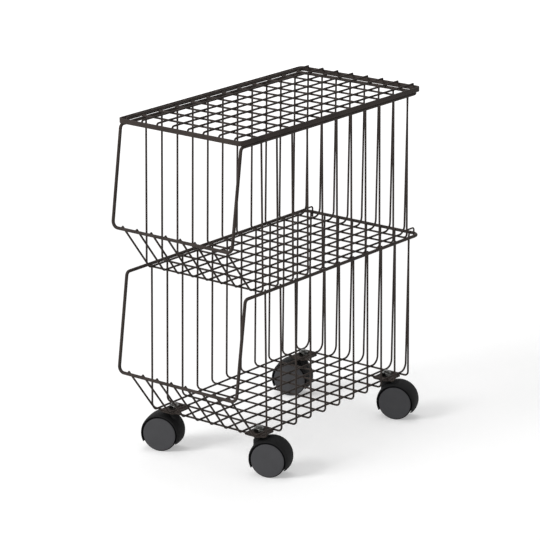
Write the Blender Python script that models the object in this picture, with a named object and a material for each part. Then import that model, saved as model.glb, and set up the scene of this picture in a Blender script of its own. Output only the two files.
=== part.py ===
"""Rolling rack of two stacked wire baskets with a lift-off lid, on four twin-wheel casters.

Metres, +Z up. The origin is on the floor under the middle of the rack's box, the open front
faces -Y. Each basket is laid out in a frame of its own, whose origin is on the axis of the
middle crosswise wire, at the middle of the floor mesh.
"""

import math

import bmesh
import bpy
from mathutils import Euler, Matrix, Quaternion, Vector

# Fits shared by all pieces
GAP = 0.0003  # clearance between two pieces that touch
OVERRUN = 0.002  # how far a cutter runs past the face it opens
SMOOTH_ANGLE = math.radians(50)  # facets that meet at less than this are shaded as one surface

X_AXIS = Vector((1, 0, 0))
Y_AXIS = Vector((0, 1, 0))
Z_AXIS = Vector((0, 0, 1))

# Wire mesh of a basket
WIRE_R = 0.0014
WIRE_SIDES = 6
WELD_SINK = 0.00025  # how deep two crossing wires are pressed into each other
CROSS_COUNT = 11  # U-shaped wires that run from side to side
CROSS_EDGE = 0.0095  # foot of the sloping front wall to the first of them
LONG_COUNT = 8  # wires that run from front to back
LONG_EDGE = 0.0136  # side wall to the first lengthwise wire, at the floor
SIDE_BEND_R = 0.006  # floor to side wall
BACK_BEND_R = 0.012  # floor to back wall
FRONT_BEND_R = 0.006  # floor to sloping front wall
BEND_STEPS = 2
BACK_BEND_STEPS = 3
WALL_FLARE = 0.0024  # how far the side walls stand out at the floor
BACK_LEAN = 0.0038  # how far the back wall leans out at its top
FLOOR_FRONT = 0.1745  # middle wire to the foot of the sloping front wall
WALL_TIP = 0.0020  # wire ends above the axis of the rim
FRONT_TIP = 0.0006  # wire ends past the front bar

# Rim rod of a basket
RIM_R = 0.0023
RIM_SIDES = 8
RIM_BEND_STEPS = 3
RIM_RISE = 0.2085  # axis of the rim above the axis of the crosswise floor wires
RIM_HALF = 0.1035
RIM_BACK = 0.1857
TOP_REACH = 0.2125  # where the side bars turn down into the legs
BAR_REACH = 0.2324  # low front bar
BAR_RISE = 0.0697
REAR_BEND_R = 0.012
TOP_BEND_R = 0.006
BAR_BEND_R = 0.009

# Stacking
SETBACK = 0.0081  # how far the upper basket stands forward of the lower one
CLIP_R = 0.0012
CLIP_SIDES = 6
CLIP_ROOM = 0.0035  # air between the clip and the top of the bar it hooks over
CLIP_GRIP = 0.0080  # how far the clip runs forward along the back wire
CLIP_DROP = 0.0085  # end of the clip below the axis of the bar
CLIP_BEND_R = 0.0035

# Lid
BAND_T = 0.0020
BAND_H = 0.0068
BAND_BEND_R = 0.006
SEAT_SHARE = 0.385  # where the band's inner edge meets the rim, as the sine from its crown
LID_NOSE = 0.0025  # front band ahead of the turn of the side bars
LID_CROSS_COUNT = 11
LID_FIRST = 0.0330  # front band to the first crosswise wire
LID_LAST = 0.0297  # last crosswise wire to the back band
LID_LONG_COUNT = 8
LID_LONG_EDGE = 0.0127  # side band to the first lengthwise wire
CURL_R = 0.0035
CURL_DROP = 0.0065

# Casters
WHEEL_R = 0.0250
WHEEL_SIDES = 20
WHEEL_OUT = 0.0155  # outer face of a wheel from the caster's middle plane
WHEEL_IN = 0.0060
TREAD_CHAMFER = 0.0009
CAP_R = 0.0237
CAP_T = 0.0010
CAP_CHAMFER = 0.0005
AXLE_R = 0.0030
AXLE_HALF = 0.0125
AXLE_SIDES = 10
BORE_GAP = 0.0003
TRAIL = 0.0170  # stem to axle
HOOD_R = 0.0290  # crown of the hood
HOOD_END_R = 0.0274
HOOD_HALF = 0.0168
HOOD_SIDES = 20
HOOD_POINTS = 5
HOOD_DROP = 0.0122  # lower edge of the hood below the axle
WELL_GAP = 0.0011  # wheel tread to the inside of the hood
WEB_HALF = 0.0054  # wall between the two wheels
NECK_R = 0.0068
NECK_SIDES = 16
NECK_RISE = 0.0311  # top of the neck above the axle
NECK_ROOT = 0.0100  # foot of the neck above the axle, inside the hood
COLLAR_R = 0.0060
COLLAR_T = 0.0015
STEM_R = 0.0040
STEM_SIDES = 8
STEM_END = 0.0028  # thread above the nut
PIN_R = 0.0036
PIN_DROP = 0.0160  # length of the pin in the neck
NUT_SIDES = 6
NUT_FLAT_HALF = 0.0065
NUT_T = 0.0060
PLATE_T = 0.0015
PLATE_HALF_X = 0.0145
PLATE_HALF_Y = 0.0180
PLATE_CORNER = 0.0050
SWIVEL_RIGHT = math.radians(20.8)  # way the casters trail, from +X towards +Y
SWIVEL_LEFT = SWIVEL_RIGHT + math.pi

# Sizes worked out from those above
WIRE_FLAT = WIRE_R * math.cos(math.pi / WIRE_SIDES)
CROSS_RISE = 2 * WIRE_FLAT - WELD_SINK  # lengthwise wires above the crosswise ones
WALL_OFFSET = RIM_R + GAP + WIRE_R  # axis of a wall wire to the axis of the rod it is welded to
WALL_TOP_HALF = RIM_HALF - WALL_OFFSET
FLOOR_HALF = WALL_TOP_HALF + WALL_FLARE
BACK_TOP = RIM_BACK - WALL_OFFSET
BACK_FLOOR = BACK_TOP - BACK_LEAN
CROSS_SPAN = 2 * (FLOOR_FRONT - CROSS_EDGE)
CROSS_PITCH = CROSS_SPAN / (CROSS_COUNT - 1)
LONG_SPAN = 2 * (FLOOR_HALF - LONG_EDGE)
LONG_PITCH = LONG_SPAN / (LONG_COUNT - 1)

SEAT_REACH = SIDE_BEND_R + WIRE_R + GAP + RIM_R  # bend centre to the axis of the rim below it
SEAT_SIDE = RIM_HALF - (FLOOR_HALF - SIDE_BEND_R)
STACK_RISE = RIM_RISE + math.sqrt(SEAT_REACH**2 - SEAT_SIDE**2) - SIDE_BEND_R

AXLE_Z = WHEEL_R
NECK_TOP = AXLE_Z + NECK_RISE
COLLAR_Z = NECK_TOP + GAP
PLATE_Z = COLLAR_Z + COLLAR_T + GAP
NUT_Z = PLATE_Z + PLATE_T + GAP
FLOOR_Z = PLATE_Z + PLATE_T + GAP + WIRE_R

FRONT_REACH = SETBACK + BAR_REACH + RIM_R
CLIP_Y = RIM_BACK + RIM_R + GAP + CLIP_R
BACK_REACH = CLIP_Y + CLIP_R
LOWER_ORIGIN = Vector((0, (FRONT_REACH - BACK_REACH) / 2, FLOOR_Z))
UPPER_ORIGIN = LOWER_ORIGIN + Vector((0, -SETBACK, STACK_RISE))

SEAT_R = RIM_R + GAP
LID_HALF = RIM_HALF + SEAT_R * SEAT_SHARE + BAND_T / 2
LID_BACK = RIM_BACK + SEAT_R * SEAT_SHARE + BAND_T / 2
LID_FRONT = TOP_REACH + LID_NOSE
BAND_Z = RIM_RISE + SEAT_R * math.sqrt(1 - SEAT_SHARE**2)  # lower edge, in the upper basket's frame
LID_LONG_Z = BAND_Z + BAND_H + GAP + WIRE_R
LID_CROSS_Z = LID_LONG_Z - CROSS_RISE
LID_CROSS_PITCH = (LID_FRONT + LID_BACK - LID_FIRST - LID_LAST) / (LID_CROSS_COUNT - 1)
LID_LONG_PITCH = 2 * (LID_HALF - LID_LONG_EDGE) / (LID_LONG_COUNT - 1)

STEM_X = LONG_SPAN / 2 - LONG_PITCH / 2
STEM_Y = CROSS_SPAN / 2 - CROSS_PITCH / 2

CORNERS = {
    "front_left": (-1, -1, SWIVEL_LEFT),
    "front_right": (1, -1, SWIVEL_RIGHT),
    "rear_left": (-1, 1, SWIVEL_LEFT),
    "rear_right": (1, 1, SWIVEL_RIGHT),
}

# Colour, roughness and metallic value of each kind of surface
COATED_STEEL = ((0.045, 0.037, 0.033), 0.45, 0.3)
HOOD_PLASTIC = ((0.017, 0.017, 0.018), 0.5, 0.0)
TREAD_PLASTIC = ((0.010, 0.010, 0.011), 0.6, 0.0)
CAP_PLASTIC = ((0.069, 0.069, 0.073), 0.55, 0.0)
BARE_STEEL = ((0.55, 0.55, 0.53), 0.3, 1.0)


def clear_scene():
    """Remove what the start-up file holds."""
    for obj in list(bpy.data.objects):
        bpy.data.objects.remove(obj, do_unlink=True)


def material(name, surface):
    """Principled material of a surface."""
    colour, roughness, metallic = surface
    result = bpy.data.materials.new(name)
    result.use_nodes = True
    shader = result.node_tree.nodes["Principled BSDF"]
    shader.inputs["Base Color"].default_value = (*colour, 1)
    shader.inputs["Roughness"].default_value = roughness
    shader.inputs["Metallic"].default_value = metallic
    return result


def place(name, mesh, surface, location=(0, 0, 0), parent=None):
    """Object with a mesh and a material of its own, smooth where the facets turn gently."""
    obj = bpy.data.objects.new(name, mesh)
    bpy.context.collection.objects.link(obj)
    obj.location = location
    obj.parent = parent
    if not mesh.materials:
        mesh.materials.append(None)
    obj.material_slots[0].link = "OBJECT"
    obj.material_slots[0].material = material(name, surface)
    return obj


def to_mesh(bm, name):
    """Mesh of a bmesh whose shells all face out."""
    bmesh.ops.recalc_face_normals(bm, faces=bm.faces)
    mesh = bpy.data.meshes.new(name)
    bm.to_mesh(mesh)
    bm.free()
    mesh.shade_smooth()
    mesh.set_sharp_from_angle(angle=SMOOTH_ANGLE)
    return mesh


def arc(before, corner, after, radius, steps):
    """Points of the fillet that rounds a corner."""
    u = (before - corner).normalized()
    v = (after - corner).normalized()
    turn = math.pi - u.angle(v)
    start = corner + u * radius * math.tan(turn / 2)
    end = corner + v * radius * math.tan(turn / 2)
    centre = corner + (u + v).normalized() * radius / math.cos(turn / 2)
    axis = (start - centre).cross(end - centre)
    spokes = [Quaternion(axis, turn * k / steps) @ (start - centre) for k in range(steps + 1)]
    return [centre + spoke for spoke in spokes]


def rounded_path(corners, bends, closed=False):
    """Path through the corners, each rounded by its own (radius, steps) bend."""
    points = []
    last = len(corners) - 1
    for index, corner in enumerate(corners):
        if not closed and index in (0, last):
            points.append(corner)
            continue
        after = corners[(index + 1) % len(corners)]
        points += arc(corners[index - 1], corner, after, *bends[index])
    return points


def sweep(bm, path, section, up, closed=False):
    """Prism of a section along a path, mitred at each point.

    The section's points are pairs of distances along `up` and across it, in the plane
    square to the first run.
    """
    count = len(path)
    runs = [(path[(i + 1) % count] - path[i]).normalized() for i in range(count)]
    across = runs[0].cross(up).normalized()
    level = across.cross(runs[0])
    spokes = [level * a + across * b for a, b in section]
    rings = [] if closed else [[path[0] + spoke for spoke in spokes]]
    inner = list(range(1, count)) + [0] if closed else range(1, count - 1)
    for i in inner:
        incoming, outgoing = runs[i - 1], runs[i]
        mitre = (incoming + outgoing).normalized()
        slid = [s - incoming * (s.dot(mitre) / incoming.dot(mitre)) for s in spokes]
        rings.append([path[i] + s for s in slid])
        spokes = [s - outgoing * s.dot(outgoing) for s in slid]
    if not closed:
        rings.append([path[-1] + spoke for spoke in spokes])
    loops = [[bm.verts.new(point) for point in ring] for ring in rings]
    sides = len(section)
    pairs = list(zip(loops, loops[1:] + loops[:1])) if closed else list(zip(loops, loops[1:]))
    for near, far in pairs:
        for k in range(sides):
            following = (k + 1) % sides
            bm.faces.new((near[k], near[following], far[following], far[k]))
    if not closed:
        bm.faces.new(loops[0])
        bm.faces.new(loops[-1])


def round_section(radius, sides):
    """Polygon with a flat at its top and bottom."""
    turn = 2 * math.pi / sides
    angles = [turn * (k + 0.5) for k in range(sides)]
    return [(radius * math.cos(a), radius * math.sin(a)) for a in angles]


def lathe(bm, profile, sides, centre, axis, flat):
    """Solid turned round an axis from (distance along it, radius) pairs.

    `flat` is the direction in which the middle of a facet lies.
    """
    across = axis.cross(flat)
    turn = 2 * math.pi / sides
    rings = []
    for along, radius in profile:
        spin = [turn * (k + 0.5) for k in range(sides)]
        ring = [flat * math.cos(a) * radius + across * math.sin(a) * radius for a in spin]
        rings.append([bm.verts.new(centre + axis * along + spoke) for spoke in ring])
    for near, far in zip(rings, rings[1:]):
        for k in range(sides):
            following = (k + 1) % sides
            bm.faces.new((near[k], near[following], far[following], far[k]))
    bm.faces.new(rings[0])
    bm.faces.new(rings[-1])


def ring_prism(bm, outer, inner, bottom, top):
    """Flat plate between two outlines of as many points each, with a hole through it."""
    count = len(outer)
    loops = []
    for outline, height in ((outer, bottom), (outer, top), (inner, top), (inner, bottom)):
        loops.append([bm.verts.new((x, y, height)) for x, y in outline])
    for near, far in zip(loops, loops[1:] + loops[:1]):
        for k in range(count):
            following = (k + 1) % count
            bm.faces.new((near[k], near[following], far[following], far[k]))


def spread(count, pitch):
    """Places of evenly pitched wires about the middle."""
    return [(index - (count - 1) / 2) * pitch for index in range(count)]


def guide(name, mesh):
    """Helper object that the modelling tools read and the finished part leaves out."""
    obj = bpy.data.objects.new(name, mesh)
    bpy.context.collection.objects.link(obj)
    obj.hide_render = True
    obj.display_type = "WIRE"
    return obj


def combine(name, mesh, *steps):
    """Mesh after a chain of (operation, mesh) Boolean steps."""
    base = guide(name, mesh)
    helpers = []
    for operation, other in steps:
        helper = guide(f"{name}_{operation.lower()}", other)
        helpers.append(helper)
        modifier = base.modifiers.new(operation.title(), "BOOLEAN")
        modifier.operation = operation
        modifier.solver = "EXACT"
        modifier.object = helper
    bpy.context.view_layer.update()
    depsgraph = bpy.context.evaluated_depsgraph_get()
    result = bpy.data.meshes.new_from_object(base.evaluated_get(depsgraph))
    result.name = name
    for obj in [base, *helpers]:
        bpy.data.objects.remove(obj, do_unlink=True)
    result.shade_smooth()
    result.set_sharp_from_angle(angle=SMOOTH_ANGLE)
    return result


def cross_wire(bm, y):
    """One U-shaped wire: down the left wall, across the floor and up the right wall."""
    lean = (WALL_TOP_HALF - FLOOR_HALF) / RIM_RISE
    top_half = WALL_TOP_HALF + lean * WALL_TIP
    corners = [
        Vector((-top_half, y, RIM_RISE + WALL_TIP)),
        Vector((-FLOOR_HALF, y, 0)),
        Vector((FLOOR_HALF, y, 0)),
        Vector((top_half, y, RIM_RISE + WALL_TIP)),
    ]
    bend = (SIDE_BEND_R, BEND_STEPS)
    path = rounded_path(corners, [None, bend, bend, None])
    sweep(bm, path, round_section(WIRE_R, WIRE_SIDES), X_AXIS)


def front_wire_end():
    """End of a lengthwise wire, which passes inside the front bar and just touches it."""
    foot = Vector((0, -FLOOR_FRONT, CROSS_RISE))
    bar = Vector((0, -BAR_REACH, BAR_RISE))
    to_bar = bar - foot
    swing = math.asin(WALL_OFFSET / to_bar.length)
    along = Quaternion(X_AXIS, -swing) @ to_bar.normalized()
    return foot + along * (math.sqrt(to_bar.length**2 - WALL_OFFSET**2) + FRONT_TIP)


def long_wire(bm, x):
    """One lengthwise wire: up the sloping front, along the floor and up the back wall."""
    lean = BACK_LEAN / (RIM_RISE - CROSS_RISE)
    side = x * X_AXIS
    corners = [
        side + front_wire_end(),
        side + Vector((0, -FLOOR_FRONT, CROSS_RISE)),
        side + Vector((0, BACK_FLOOR, CROSS_RISE)),
        side + Vector((0, BACK_TOP + lean * WALL_TIP, RIM_RISE + WALL_TIP)),
    ]
    bends = [None, (FRONT_BEND_R, BEND_STEPS), (BACK_BEND_R, BACK_BEND_STEPS), None]
    path = rounded_path(corners, bends)
    across = (path[1] - path[0]).cross(X_AXIS)
    sweep(bm, path, round_section(WIRE_R, WIRE_SIDES), across)


def basket_mesh():
    """Welded wires of one basket, in the basket's frame."""
    cross, long = bmesh.new(), bmesh.new()
    for y in spread(CROSS_COUNT, CROSS_PITCH):
        cross_wire(cross, y)
    for x in spread(LONG_COUNT, LONG_PITCH):
        long_wire(long, x)
    return combine("basket_wires", to_mesh(cross, "cross"), ("UNION", to_mesh(long, "long")))


def rim_mesh():
    """Rod of one basket's rim, bent into a single loop."""
    bm = bmesh.new()
    corners = [
        Vector((-RIM_HALF, RIM_BACK, RIM_RISE)),
        Vector((RIM_HALF, RIM_BACK, RIM_RISE)),
        Vector((RIM_HALF, -TOP_REACH, RIM_RISE)),
        Vector((RIM_HALF, -BAR_REACH, BAR_RISE)),
        Vector((-RIM_HALF, -BAR_REACH, BAR_RISE)),
        Vector((-RIM_HALF, -TOP_REACH, RIM_RISE)),
    ]
    radii = [REAR_BEND_R, REAR_BEND_R, TOP_BEND_R, BAR_BEND_R, BAR_BEND_R, TOP_BEND_R]
    path = rounded_path(corners, [(radius, RIM_BEND_STEPS) for radius in radii], closed=True)
    path = path[RIM_BEND_STEPS:] + path[:RIM_BEND_STEPS]
    section = round_section(RIM_R, RIM_SIDES)
    sweep(bm, path, section, Z_AXIS, closed=True)
    return to_mesh(bm, "basket_rim")


def clip_mesh(side):
    """Wire clip beside an outer back wire of the upper basket, in that basket's frame."""
    bm = bmesh.new()
    x = side * (LONG_SPAN / 2 + WIRE_R + GAP + CLIP_R)
    bar_z = RIM_RISE - STACK_RISE
    run_z = bar_z + RIM_R + CLIP_ROOM + CLIP_R
    hook_y = CLIP_Y + SETBACK
    corners = [
        Vector((x, BACK_FLOOR - CLIP_GRIP, run_z)),
        Vector((x, hook_y, run_z)),
        Vector((x, hook_y, bar_z - CLIP_DROP)),
    ]
    path = rounded_path(corners, [None, (CLIP_BEND_R, BEND_STEPS), None])
    sweep(bm, path, round_section(CLIP_R, CLIP_SIDES), Z_AXIS)
    return to_mesh(bm, "stacking_clip")


def band_mesh():
    """Flat bar of the lid, standing on edge and bent into a frame."""
    bm = bmesh.new()
    z = BAND_Z + BAND_H / 2
    corners = [
        Vector((-LID_HALF, LID_BACK, z)),
        Vector((LID_HALF, LID_BACK, z)),
        Vector((LID_HALF, -LID_FRONT, z)),
        Vector((-LID_HALF, -LID_FRONT, z)),
    ]
    path = rounded_path(corners, [(BAND_BEND_R, RIM_BEND_STEPS)] * len(corners), closed=True)
    path = path[RIM_BEND_STEPS:] + path[:RIM_BEND_STEPS]
    half_h, half_t = BAND_H / 2, BAND_T / 2
    section = [(half_h, half_t), (half_h, -half_t), (-half_h, -half_t), (-half_h, half_t)]
    sweep(bm, path, section, Z_AXIS, closed=True)
    return to_mesh(bm, "lid_frame")


def lid_cross_wire(bm, y):
    """Straight wire from side to side, its ends against the inside of the frame."""
    reach = LID_HALF - BAND_T / 2 - GAP
    path = [Vector((-reach, y, LID_CROSS_Z)), Vector((reach, y, LID_CROSS_Z))]
    sweep(bm, path, round_section(WIRE_R, WIRE_SIDES), Z_AXIS)


def lid_long_wire(bm, x):
    """Lengthwise wire that lies over the back band and curls down behind the front one."""
    curl_y = -LID_FRONT + BAND_T / 2 + GAP + WIRE_R
    corners = [
        Vector((x, curl_y, LID_LONG_Z - CURL_DROP)),
        Vector((x, curl_y, LID_LONG_Z)),
        Vector((x, LID_BACK + BAND_T / 2 - GAP, LID_LONG_Z)),
    ]
    path = rounded_path(corners, [None, (CURL_R, BEND_STEPS), None])
    sweep(bm, path, round_section(WIRE_R, WIRE_SIDES), Y_AXIS)


def lid_grid_mesh():
    """Welded wires of the lid, in the upper basket's frame."""
    cross, long = bmesh.new(), bmesh.new()
    for index in range(LID_CROSS_COUNT):
        lid_cross_wire(cross, -LID_FRONT + LID_FIRST + index * LID_CROSS_PITCH)
    for x in spread(LID_LONG_COUNT, LID_LONG_PITCH):
        lid_long_wire(long, x)
    return combine("lid_grid", to_mesh(cross, "cross"), ("UNION", to_mesh(long, "long")))


def plate_mesh():
    """Corner plate with cut corners and a hole for the stem, about the stem's axis."""
    bm = bmesh.new()
    half_x, half_y, cut = PLATE_HALF_X, PLATE_HALF_Y, PLATE_CORNER
    outer = [
        (half_x, cut - half_y),
        (half_x, half_y - cut),
        (half_x - cut, half_y),
        (cut - half_x, half_y),
        (-half_x, half_y - cut),
        (-half_x, cut - half_y),
        (cut - half_x, -half_y),
        (half_x - cut, -half_y),
    ]
    count = len(outer)
    hole_r = (STEM_R + GAP) / math.cos(math.pi / count)
    angles = [2 * math.pi * (k - 0.5) / count for k in range(count)]
    inner = [(hole_r * math.cos(a), hole_r * math.sin(a)) for a in angles]
    ring_prism(bm, outer, inner, PLATE_Z, PLATE_Z + PLATE_T)
    return to_mesh(bm, "corner_plate")


def nut_mesh():
    """Hexagon nut about the stem's axis."""
    bm = bmesh.new()
    outer_r = NUT_FLAT_HALF / math.cos(math.pi / NUT_SIDES)
    inner_r = (STEM_R + GAP) / math.cos(math.pi / NUT_SIDES)
    angles = [2 * math.pi * k / NUT_SIDES for k in range(NUT_SIDES)]
    outer = [(outer_r * math.cos(a), outer_r * math.sin(a)) for a in angles]
    inner = [(inner_r * math.cos(a), inner_r * math.sin(a)) for a in angles]
    ring_prism(bm, outer, inner, NUT_Z, NUT_Z + NUT_T)
    return to_mesh(bm, "hex_nut")


def stem_mesh():
    """Stem: thread through the plate and nut, collar under the plate, pin in the neck."""
    bm = bmesh.new()
    profile = [
        (COLLAR_Z - PIN_DROP, PIN_R),
        (COLLAR_Z, PIN_R),
        (COLLAR_Z, COLLAR_R),
        (COLLAR_Z + COLLAR_T, COLLAR_R),
        (COLLAR_Z + COLLAR_T, STEM_R),
        (NUT_Z + NUT_T + STEM_END, STEM_R),
    ]
    lathe(bm, profile, STEM_SIDES, Vector(), Z_AXIS, X_AXIS)
    return to_mesh(bm, "stem")


def turned(profile, sides, centre, axis, flat, name):
    """Mesh of one turned solid."""
    bm = bmesh.new()
    lathe(bm, profile, sides, centre, axis, flat)
    return to_mesh(bm, name)


def hood_profile():
    """Crowned outside of the hood, from one end to the other."""
    profile = []
    for index in range(HOOD_POINTS):
        share = 2 * index / (HOOD_POINTS - 1) - 1
        crown = math.sqrt(1 - share**2)
        profile.append((share * HOOD_HALF, HOOD_END_R + (HOOD_R - HOOD_END_R) * crown))
    return profile


def housing_mesh():
    """Caster housing about the stem's axis, trailing along +X with the axle along Y."""
    axle = Vector((TRAIL, 0, AXLE_Z))
    hood = turned(hood_profile(), HOOD_SIDES, axle, Y_AXIS, -Z_AXIS, "hood")
    neck_profile = [(AXLE_Z + NECK_ROOT, NECK_R), (NECK_TOP, NECK_R)]
    neck = turned(neck_profile, NECK_SIDES, Vector(), Z_AXIS, X_AXIS, "neck")
    wells = bmesh.new()
    well_r = WHEEL_R + WELL_GAP
    for sign in (-1, 1):
        span = [(sign * WEB_HALF, well_r), (sign * (HOOD_HALF + OVERRUN), well_r)]
        lathe(wells, span, HOOD_SIDES, axle, Y_AXIS, -Z_AXIS)
    bore_r = AXLE_R + BORE_GAP
    bore_span = [(-WEB_HALF - OVERRUN, bore_r), (WEB_HALF + OVERRUN, bore_r)]
    bore = turned(bore_span, AXLE_SIDES, axle, Y_AXIS, -Z_AXIS, "bore")
    socket_r = PIN_R + BORE_GAP
    socket_span = [(COLLAR_Z - PIN_DROP - BORE_GAP, socket_r), (NECK_TOP + OVERRUN, socket_r)]
    socket = turned(socket_span, STEM_SIDES, Vector(), Z_AXIS, X_AXIS, "socket")
    return combine(
        "housing",
        hood,
        ("UNION", neck),
        ("DIFFERENCE", to_mesh(wells, "wells")),
        ("DIFFERENCE", under_hood_mesh(axle)),
        ("DIFFERENCE", bore),
        ("DIFFERENCE", socket),
    )


def under_hood_mesh(axle):
    """Block that opens the hood at its bottom."""
    bm = bmesh.new()
    reach = HOOD_R + OVERRUN
    width = HOOD_HALF + OVERRUN
    height = reach - HOOD_DROP
    size = Matrix.Diagonal((2 * reach, 2 * width, height, 1))
    middle = axle - (HOOD_DROP + height / 2) * Z_AXIS
    bmesh.ops.create_cube(bm, size=1, matrix=Matrix.Translation(middle) @ size)
    return to_mesh(bm, "under_hood")


def wheel_mesh(sign):
    """Wheel about the axle, with a blind bore from its inner side."""
    wall = BORE_GAP + AXLE_HALF
    flat_r = 1 / math.cos(math.pi / WHEEL_SIDES)
    profile = [
        (sign * wall, AXLE_R + BORE_GAP),
        (sign * WHEEL_IN, AXLE_R + BORE_GAP),
        (sign * WHEEL_IN, WHEEL_R * flat_r),
        (sign * (WHEEL_OUT - TREAD_CHAMFER), WHEEL_R * flat_r),
        (sign * WHEEL_OUT, (WHEEL_R - TREAD_CHAMFER) * flat_r),
    ]
    return turned(profile, WHEEL_SIDES, Vector(), Y_AXIS, -Z_AXIS, "wheel")


def cap_mesh(sign):
    """Cap on a wheel's outer face."""
    start = WHEEL_OUT + GAP
    profile = [(sign * start, CAP_R), (sign * (start + CAP_T), CAP_R - CAP_CHAMFER)]
    return turned(profile, WHEEL_SIDES, Vector(), Y_AXIS, -Z_AXIS, "cap")


def axle_mesh():
    """Axle of one caster."""
    profile = [(-AXLE_HALF, AXLE_R), (AXLE_HALF, AXLE_R)]
    return turned(profile, AXLE_SIDES, Vector(), Y_AXIS, -Z_AXIS, "axle")


def build_baskets():
    """Two baskets of the same make, the upper one standing on the lower one's rim."""
    wires, rim = basket_mesh(), rim_mesh()
    for level, origin in (("lower", LOWER_ORIGIN), ("upper", UPPER_ORIGIN)):
        place(f"{level}_basket_wires", wires, COATED_STEEL, origin)
        place(f"{level}_basket_rim", rim, COATED_STEEL, origin)
    for name, side in (("left", -1), ("right", 1)):
        place(f"stacking_clip_{name}", clip_mesh(side), COATED_STEEL, UPPER_ORIGIN)


def build_lid():
    """Frame and grid of the lid, on the upper rim."""
    place("lid_frame", band_mesh(), COATED_STEEL, UPPER_ORIGIN)
    place("lid_grid", lid_grid_mesh(), COATED_STEEL, UPPER_ORIGIN)


def build_casters():
    """Corner plates and the casters bolted to them."""
    plate, nut, stem = plate_mesh(), nut_mesh(), stem_mesh()
    housing, axle = housing_mesh(), axle_mesh()
    wheels = {"a": (wheel_mesh(1), cap_mesh(1)), "b": (wheel_mesh(-1), cap_mesh(-1))}
    centre = Vector((TRAIL, 0, AXLE_Z))
    for corner, (side_x, side_y, swivel) in CORNERS.items():
        foot = Vector((side_x * STEM_X, LOWER_ORIGIN.y + side_y * STEM_Y, 0))
        place(f"corner_plate_{corner}", plate, COATED_STEEL, foot)
        place(f"hex_nut_{corner}", nut, BARE_STEEL, foot)
        place(f"stem_{corner}", stem, BARE_STEEL, foot)
        pivot = bpy.data.objects.new(f"swivel_{corner}", None)
        bpy.context.collection.objects.link(pivot)
        pivot.location = foot
        pivot.rotation_euler = Euler((0, 0, swivel))
        place(f"housing_{corner}", housing, HOOD_PLASTIC, parent=pivot)
        place(f"axle_{corner}", axle, BARE_STEEL, centre, pivot)
        for name, (wheel, cap) in wheels.items():
            place(f"wheel_{name}_{corner}", wheel, TREAD_PLASTIC, centre, pivot)
            place(f"wheel_cap_{name}_{corner}", cap, CAP_PLASTIC, centre, pivot)


clear_scene()
build_baskets()
build_lid()
build_casters()
bpy.context.view_layer.update()
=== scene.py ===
"""Looks of a rolling rack of two stacked wire baskets with a lift-off lid.

Metres, +Z up, the open front faces -Y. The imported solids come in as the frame. The wires, rods,
lid and casters are made again here as smooth pieces in the same places, with their weld beads,
rounded edges and threads, and each rides on its own body.
"""

import logging
import math
from dataclasses import dataclass, field
from enum import Enum

import bmesh
import bpy
from mathutils import Matrix, Quaternion, Vector


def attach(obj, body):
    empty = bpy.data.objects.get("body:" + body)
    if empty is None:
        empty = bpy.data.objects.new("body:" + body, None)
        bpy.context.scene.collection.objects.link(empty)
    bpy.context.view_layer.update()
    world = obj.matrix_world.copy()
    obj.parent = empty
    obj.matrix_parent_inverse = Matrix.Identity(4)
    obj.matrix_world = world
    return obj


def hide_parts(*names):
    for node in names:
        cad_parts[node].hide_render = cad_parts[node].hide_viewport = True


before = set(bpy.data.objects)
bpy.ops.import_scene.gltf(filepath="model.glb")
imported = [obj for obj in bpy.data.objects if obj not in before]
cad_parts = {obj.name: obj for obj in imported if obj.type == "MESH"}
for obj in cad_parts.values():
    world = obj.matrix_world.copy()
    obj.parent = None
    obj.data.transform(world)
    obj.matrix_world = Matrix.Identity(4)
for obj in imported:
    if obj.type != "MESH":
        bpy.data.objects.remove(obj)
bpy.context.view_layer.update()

Mesh = bpy.types.Mesh
Material = bpy.types.Material
Socket = bpy.types.NodeSocket
Tree = bpy.types.NodeTree
Triple = tuple[float, float, float]
Span = tuple[float, float]
Profile = list[Span]
Bend = tuple[float, int]
Row = tuple[int, Vector]

LOG = logging.getLogger("rack")
SHARP = math.radians(38)
TURNED_SIDES = 96
QUARTER = math.pi / 2
UPRIGHT = Matrix.Identity(4)
ONE: Row = (1, Vector())
CORNER_SIGNS = (1, 1), (-1, 1), (-1, -1), (1, -1)


class Level(Enum):
    """Which of the two baskets a piece belongs to."""

    LOWER = "lower"
    UPPER = "upper"


class Side(Enum):
    """The rack's two sides, by their way along X."""

    LEFT = -1
    RIGHT = 1


class Corner(Enum):
    """A corner of the rack, as the way from its middle along X and Y."""

    FRONT_LEFT = (-1, -1)
    FRONT_RIGHT = (1, -1)
    REAR_LEFT = (-1, 1)
    REAR_RIGHT = (1, 1)


class WheelSide(Enum):
    """The two wheels of one caster, by the way that they face along its axle."""

    A = 1
    B = -1


class Bead(Enum):
    """Half sizes of a weld bead: by the way that its short side lies, or for its place."""

    ACROSS = (0.0008, 0.0015, 0.0015)
    ALONG = (0.0015, 0.0008, 0.0015)
    UP = (0.0015, 0.0015, 0.0008)
    CLIP = (0.0007, 0.0022, 0.0011)


# Sizes

# They are the solids' own, but a round piece at the rack's very edge is up to 0.2 mm smaller or
# further in, because the solids' facets don't reach as far as a full round would.


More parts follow.
